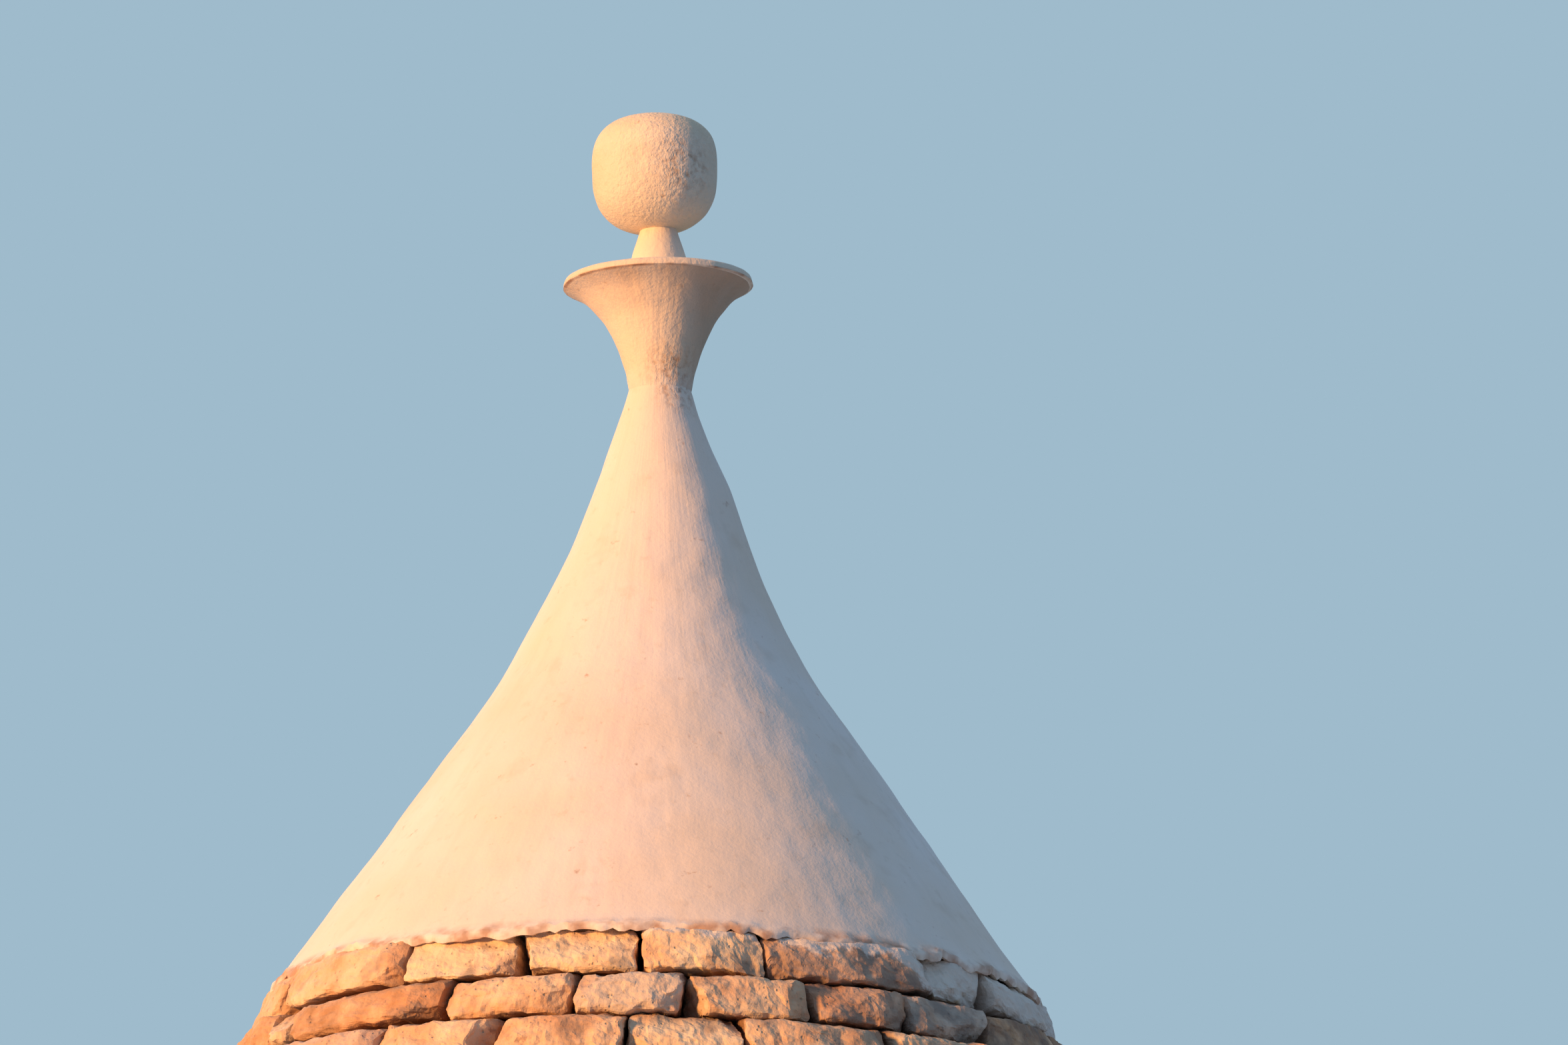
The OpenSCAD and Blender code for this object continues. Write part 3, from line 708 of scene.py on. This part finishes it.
def hand_laid(point):
    """Waves of a coat that was laid and brushed by hand, the lean of its axis, and its ragged hem."""
    out = Vector((point.x, point.y, 0.0)).normalized()
    below = NECK - point.z
    # As wide as a sweep of the arm, a hand and a thumb, and ridges that the brush drew up and down
    wave = (0.0050 * noise.noise(point * 3.4) + 0.0019 * noise.noise(point * 11.0)
            + 0.0005 * noise.noise(point * 31.0))
    wave += 0.0009 * noise.noise(Vector((point.x * 36, point.y * 36, point.z * 10)))
    moved = point + out * wave * min(1.0, below / WAVES_OVER)

    # The hem follows the slope of the courses, up or down its own face, and is ragged on top of that
    fall = TOP_SLOPE * point.x * min(1.0, max(0.0, (below - FALL_FROM) / FALL_OVER))
    moved += Vector((0.0, 0.0, -fall)) + out * (COAT_BATTER * fall)
    near = max(0.0, 1.0 - abs(point.z - (HEM - 0.010)) / RAGGED_OVER)
    ragged = (0.007 + 0.014 * noise.noise(out * 4.3) + 0.015 * noise.noise(out * 15.0)
              + 0.013 * noise.noise(out * 37.0))
    proud = 0.005 * noise.noise(out * 6.1 + Vector((7, 3, 1))) + 0.004 * noise.noise(out * 21.0)
    moved.z += near * ragged
    moved += out * near * (proud - 0.4 * ragged)
    moved.x += curve_at(CONE_LEAN, below)
    return moved


cone = lathe("lime_coat", outline, sides=420, shift=hand_laid)
cone.data.materials.append(limewash)
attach(cone, "root")
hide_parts("lime_cone")


# Pinnacle: carved from soft limestone and limewashed like the cone. A
# trumpet-shaped bowl with a thin rim stands on the neck, and a short stem on
# its flat top carries a squarish ball.
SMOOTH_WITHIN, RISE_FULL_AT = 0.03, 0.2


def tooled(fine, coarse, aside, rise=0.0):
    """Dents of a surface that was dressed by hand, small and wide ones, as deep as given.

    There are none close to the axis. The piece stands aside of the axis by a curve over its height
    above the neck, and it rises toward +X by a slope that is full near the bowl's rim.
    """
    def shift(point):
        out = Vector((point.x, point.y, 0.0))
        if out.length > SMOOTH_WITHIN:
            dent = coarse * noise.noise(point * 9.0) + fine * noise.noise(point * 45.0)
            point = point + out.normalized() * dent
        above = point.z - NECK
        return point + Vector((curve_at(aside, above), 0.0, rise * point.x * above / RISE_FULL_AT))
    return shift


BOWL_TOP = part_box("pinnacle_bowl")[1][2]
BOWL_H, BOWL_ROWS = 0.186, 90
RIM_FOOT, RIM_RISE = NECK + 0.187, 0.023
# (above the neck, radius), (above the neck, lean of the axis toward +X), the rim as (radius, above its
# foot) and the flat top as (radius, above the top)
BOWL_STATIONS = [(0.0, 0.054), (0.028, 0.0594), (0.0475, 0.0648), (0.067, 0.0711), (0.087, 0.0784),
                 (0.107, 0.0871), (0.128, 0.0984), (0.151, 0.1170), (0.165, 0.1300), (0.175, 0.1430),
                 (BOWL_H, 0.1625)]
BOWL_LEAN = [(0.0, 0.0054), (0.06, 0.0060), (0.13, 0.0050), (0.2, 0.0012)]
RIM = [(0.1646, 0.0), (0.1643, 0.003), (0.1634, 0.0075), (0.1612, 0.0113)]
FLAT_TOP = [(0.157, 0.0), (0.14, -0.001), (0.11, -0.002), (0.07, -0.001), (0.0, 0.0)]
# Limewash on tooled stone: the marks show through, with brown dirt under the rim and painted shade on the
# +X side
bowl_lime = limewash_paint("limewash over tooled stone", ("#F5E8D8", "#EFDBC2"),
                           waves=((0.016, 1.6, 3.0), (0.0032, 1.8, 4.0)), brush=(0.11, 0.22, 1.8),
                           worn=((0.030, -0.055, NECK + 0.030), 0.06),
                           edge=(RIM_FOOT - 0.0005, -RIM_RISE, 0.0025, 0.75),
                           dirt_and_painted_shade=(NECK, NECK + 0.11, RIM_FOOT, 0.48))
outline = [(0.0, NECK - 0.020), (0.040, NECK - 0.020), (0.050, NECK - 0.006)]
ups = [BOWL_H * k / BOWL_ROWS for k in range(BOWL_ROWS + 1)]
outline += [(curve_at(BOWL_STATIONS, up), NECK + up) for up in ups]
outline += [(r, RIM_FOOT + z) for r, z in RIM] + [(r, BOWL_TOP + z) for r, z in FLAT_TOP]
bowl = lathe("bowl", outline, sides=300, shift=tooled(0.0008, 0.0020, BOWL_LEAN, RIM_RISE))
bowl.data.materials.append(bowl_lime)
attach(bowl, "root")
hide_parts("pinnacle_bowl")

STEM_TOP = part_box("pinnacle_stem")[1][2]
STEM_IN_BALL, STEM_ROWS = 0.012, 20
# (share of its height, radius) and (above the neck, lean)
STEM_STATIONS = [(0.0, 0.0555), (0.4, 0.0465), (1.0, 0.0275)]
STEM_LEAN = [(0.0, 0.003), (1.0, 0.003)]
# Limewash on smooth stone, which ball and bowl keep dry: clean and even
stem_lime = limewash_paint("limewash over smooth stone", ("#F6E6D0", "#EEDCC2"),
                           waves=((0.016, 2.0, 3.0), (0.0032, 0.8, 3.0)), brush=(0.06, 0.4, 0.8))
STEM_H = STEM_TOP - BOWL_TOP + STEM_IN_BALL
outline = [(0.0, BOWL_TOP - 0.003), (STEM_STATIONS[0][1], BOWL_TOP - 0.003)]
outline += [(curve_at(STEM_STATIONS, k / STEM_ROWS), BOWL_TOP + STEM_H * k / STEM_ROWS)
            for k in range(STEM_ROWS + 1)]
outline += [(0.0, STEM_TOP + STEM_IN_BALL)]
stem = lathe("stem", outline, sides=160, shift=tooled(0.0004, 0.0015, STEM_LEAN))
stem.data.materials.append(stem_lime)
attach(stem, "root")
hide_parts("pinnacle_stem")

BALL_R, BALL_RISE, BALL_DROP = 0.1095, 0.1042, 0.101
BALL_MID = NECK + 0.3855
SQUARE_ABOVE, SQUARE_BELOW = 3.1, 2.38
BALL_LEAN = [(0.0, -0.005), (1.0, -0.005)]
# Limewash on pecked stone: creamy and pebbled, worn to the brown stone on one side, with a little painted
# shade on the +X side
ball_lime = limewash_paint("limewash over pecked stone", ("#FAE8CE", "#EFD4AC"),
                           waves=((0.022, 3.2, 2.0), (0.0034, 3.4, 3.0)), brush=(0.10, 0.9, 0.6),
                           worn=((0.050, -0.092, BALL_MID - 0.01), 0.070),
                           dirt_and_painted_shade=(BALL_MID + 0.045, BALL_MID + 0.075, BALL_MID + 0.24, 0.12))
# Rows every 1.5 degrees, on an outline that is a little squarer above its middle than below
outline = [(0.0, BALL_MID - BALL_DROP)]
for a in np.radians(np.arange(-82.5, 90, 1.5)):
    power, rise = (SQUARE_ABOVE, BALL_RISE) if a > 0 else (SQUARE_BELOW, -BALL_DROP)
    round_off = 2 / power
    outline.append((BALL_R * math.cos(a) ** round_off, BALL_MID + rise * abs(math.sin(a)) ** round_off))
outline += [(0.0, BALL_MID + BALL_RISE)]
ball = lathe("ball", outline, sides=240, shift=tooled(0.0005, 0.0040, BALL_LEAN))
ball.data.materials.append(ball_lime)
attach(ball, "root")
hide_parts("pinnacle_ball")
